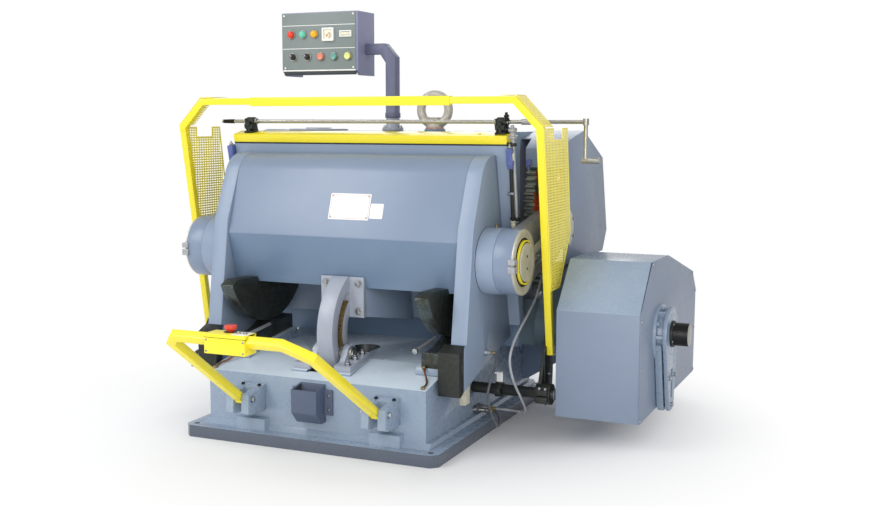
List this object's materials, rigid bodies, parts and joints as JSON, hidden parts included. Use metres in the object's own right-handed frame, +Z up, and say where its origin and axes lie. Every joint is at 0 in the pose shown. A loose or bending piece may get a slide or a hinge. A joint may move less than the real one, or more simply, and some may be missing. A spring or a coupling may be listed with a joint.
{
  "type": "die cutting machine",
  "caption": "Platen press that creases and cuts board: rocking platen, upright bed, crank gears and rods, guards and control panel.",
  "frame": {"origin": "centre of the four anchor bolts, on the floor", "axes": "+X to the machine's right as the operator sees it, -Y towards the operator, +Z up"},
  "size_m": [2.183, 2.0478, 1.76],
  "materials": {
    "blue_paint": "satin paint over cast iron, fine orange peel",
    "blue_base": "satin paint over rough cast iron",
    "blue_cover": "satin paint on sheet steel",
    "grey_paint": "satin light grey paint",
    "yellow_paint": "gloss yellow paint",
    "violet_paint": "fine texture powder coat",
    "black_iron": "oiled black cast iron",
    "steel": "machined steel, light oil",
    "cast_steel": "bare cast steel",
    "bronze": "oiled bronze",
    "orange_paint": "red-orange primer with grease",
    "dark_steel": "blackened steel",
    "rubber": "matt black rubber",
    "grey_hose": "smooth grey hose",
    "red_plastic": "gloss",
    "green_plastic": "gloss",
    "ivory_plastic": "gloss",
    "white_plastic": "gloss",
    "blue_plastic": "matt",
    "black_plastic": "matt"
  },
  "bodies": {
    "frame": {"base": "blue_base", "bed": "blue_paint", "rocker_rails": "black_iron", "guide_bracket": "grey_paint", "guide_pin": "steel", "front_pocket": "blue_base", "bar_blocks": "blue_base", "gear_guard_right": "blue_cover", "gear_guard_left": "blue_cover", "flywheel_cover": "blue_cover", "cover_bearing": "blue_base", "brake_arm": "dark_steel", "chase": "steel", "eye_bolt": "cast_steel", "top_cap": "blue_paint", "mast_socket": "violet_paint", "crank_bushes": "bronze", "motor": "blue_base", "motor_bracket": "blue_base", "gearbox": "blue_base", "limit_switch": "white_plastic", "base_gland": "black_plastic", "drive_belts": "rubber", "lube_hoses": "grey_hose"},
    "platen": {"platen_plate": "blue_paint", "platen_housing": "blue_paint", "platen_cheeks": "blue_paint", "foot_pads": "black_iron", "rocker_sectors": "black_iron", "guide_arm": "grey_paint", "guide_block": "blue_paint", "arm_bolts": "dark_steel", "trim_strip": "yellow_paint", "trunnion_pins": "steel", "rod_brackets": "steel", "plate_switches": "blue_plastic"},
    "top_rod": {"top_rod": "steel"},
    "rod_right": {"rod_right": "blue_paint"},
    "rod_left": {"rod_left": "blue_paint"},
    "crank": {"crankshaft": "steel", "crank_gears": "orange_paint"},
    "pinion": {"pinion_shaft": "steel"},
    "flywheel": {"flywheel": "cast_steel", "flywheel_shaft": "dark_steel"},
    "motor_pulley": {"motor_pulley": "cast_steel"},
    "arch": {"guard_arch": "yellow_paint", "guard_mesh": "yellow_paint", "guard_shaft": "dark_steel"},
    "safety_bar": {"safety_bar": "yellow_paint", "estop_box": "yellow_paint"},
    "estop_button": {"estop_button": "red_plastic"},
    "mast": {"mast": "violet_paint", "panel_box": "violet_paint", "panel_lamps": "red_plastic"},
    "button_red": {"button_red": "red_plastic"},
    "button_green": {"button_green": "green_plastic"},
    "button_yellow": {"button_yellow": "ivory_plastic"},
    "selector_left": {"selector_left": "black_plastic"},
    "selector_right": {"selector_right": "black_plastic"}
  },
  "joints": [
    {"name": "platen_tilt", "type": "hinge", "parent": "frame", "child": "platen", "pos_m": [0, -0.225, 0.425], "axis": [1, 0, 0], "range_deg": [-13, 30], "deforming": ["lube_hoses"]},
    {"name": "rod_swing_right", "type": "hinge", "parent": "platen", "child": "rod_right", "pos_m": [0.7, -0.225, 0.735], "axis": [1, 0, 0], "range_deg": [-30, 13]},
    {"name": "rod_swing_left", "type": "hinge", "parent": "platen", "child": "rod_left", "pos_m": [-0.7, -0.225, 0.735], "axis": [1, 0, 0], "range_deg": [-30, 13]},
    {"name": "crank_turn", "type": "hinge", "parent": "frame", "child": "crank", "pos_m": [0, 0.319, 0.945], "axis": [1, 0, 0], "range_deg": [-126, 54.6]},
    {"name": "pinion_turn", "type": "hinge", "parent": "frame", "child": "pinion", "pos_m": [0, 0.23391, 0.62295], "axis": [1, 0, 0], "range_deg": [-218.4, 504]},
    {"name": "flywheel_spin", "type": "hinge", "parent": "frame", "child": "flywheel", "pos_m": [1, 0.14, 0.427], "axis": [1, 0, 0], "continuous": true},
    {"name": "motor_spin", "type": "hinge", "parent": "frame", "child": "motor_pulley", "pos_m": [0.95, 0.655, 0.405], "axis": [1, 0, 0], "continuous": true},
    {"name": "arch_swing", "type": "hinge", "parent": "frame", "child": "arch", "pos_m": [0, -0.15, 0.2], "axis": [1, 0, 0], "range_deg": [-10.4, 24]},
    {"name": "safety_bar_swing", "type": "hinge", "parent": "frame", "child": "safety_bar", "pos_m": [0.03, -0.677, 0.192], "axis": [1, 0, 0], "range_deg": [-8, 18]},
    {"name": "estop_press", "type": "slide", "parent": "safety_bar", "child": "estop_button", "axis": [0, 0, -1], "range_m": [0, 0.004], "stiffness_N_per_m": 400},
    {"name": "top_rod_turn", "type": "hinge", "parent": "platen", "child": "top_rod", "pos_m": [0, -0.08994, 1.2803], "axis": [1, 0, 0], "range_deg": [-40, 40]},
    {"name": "mast_swivel", "type": "hinge", "parent": "frame", "child": "mast", "pos_m": [-0.006, 0.169, 1.3], "axis": [0, 0, 1], "range_deg": [-60, 60]},
    {"name": "press_red", "type": "slide", "parent": "mast", "child": "button_red", "axis": [0, 1, 0], "range_m": [0, 0.004], "stiffness_N_per_m": 300},
    {"name": "press_green", "type": "slide", "parent": "mast", "child": "button_green", "axis": [0, 1, 0], "range_m": [0, 0.004], "stiffness_N_per_m": 300},
    {"name": "press_yellow", "type": "slide", "parent": "mast", "child": "button_yellow", "axis": [0, 1, 0], "range_m": [0, 0.004], "stiffness_N_per_m": 300},
    {"name": "turn_selector_left", "type": "hinge", "parent": "mast", "child": "selector_left", "pos_m": [-0.45364, 0.077, 1.5654], "axis": [0, 1, 0], "range_deg": [0, 90]},
    {"name": "turn_selector_right", "type": "hinge", "parent": "mast", "child": "selector_right", "pos_m": [-0.38087, 0.077, 1.5654], "axis": [0, 1, 0], "range_deg": [0, 90]}
  ],
  "couplings": [
    {"joint": "rod_swing_right", "follows": "platen_tilt", "ratio": -1},
    {"joint": "rod_swing_left", "follows": "platen_tilt", "ratio": -1},
    {"joint": "crank_turn", "follows": "platen_tilt", "ratio": -4.2},
    {"joint": "pinion_turn", "follows": "platen_tilt", "ratio": 16.8},
    {"joint": "arch_swing", "follows": "platen_tilt", "ratio": 0.8},
    {"joint": "motor_spin", "follows": "flywheel_spin", "ratio": 3.8}
  ]
}
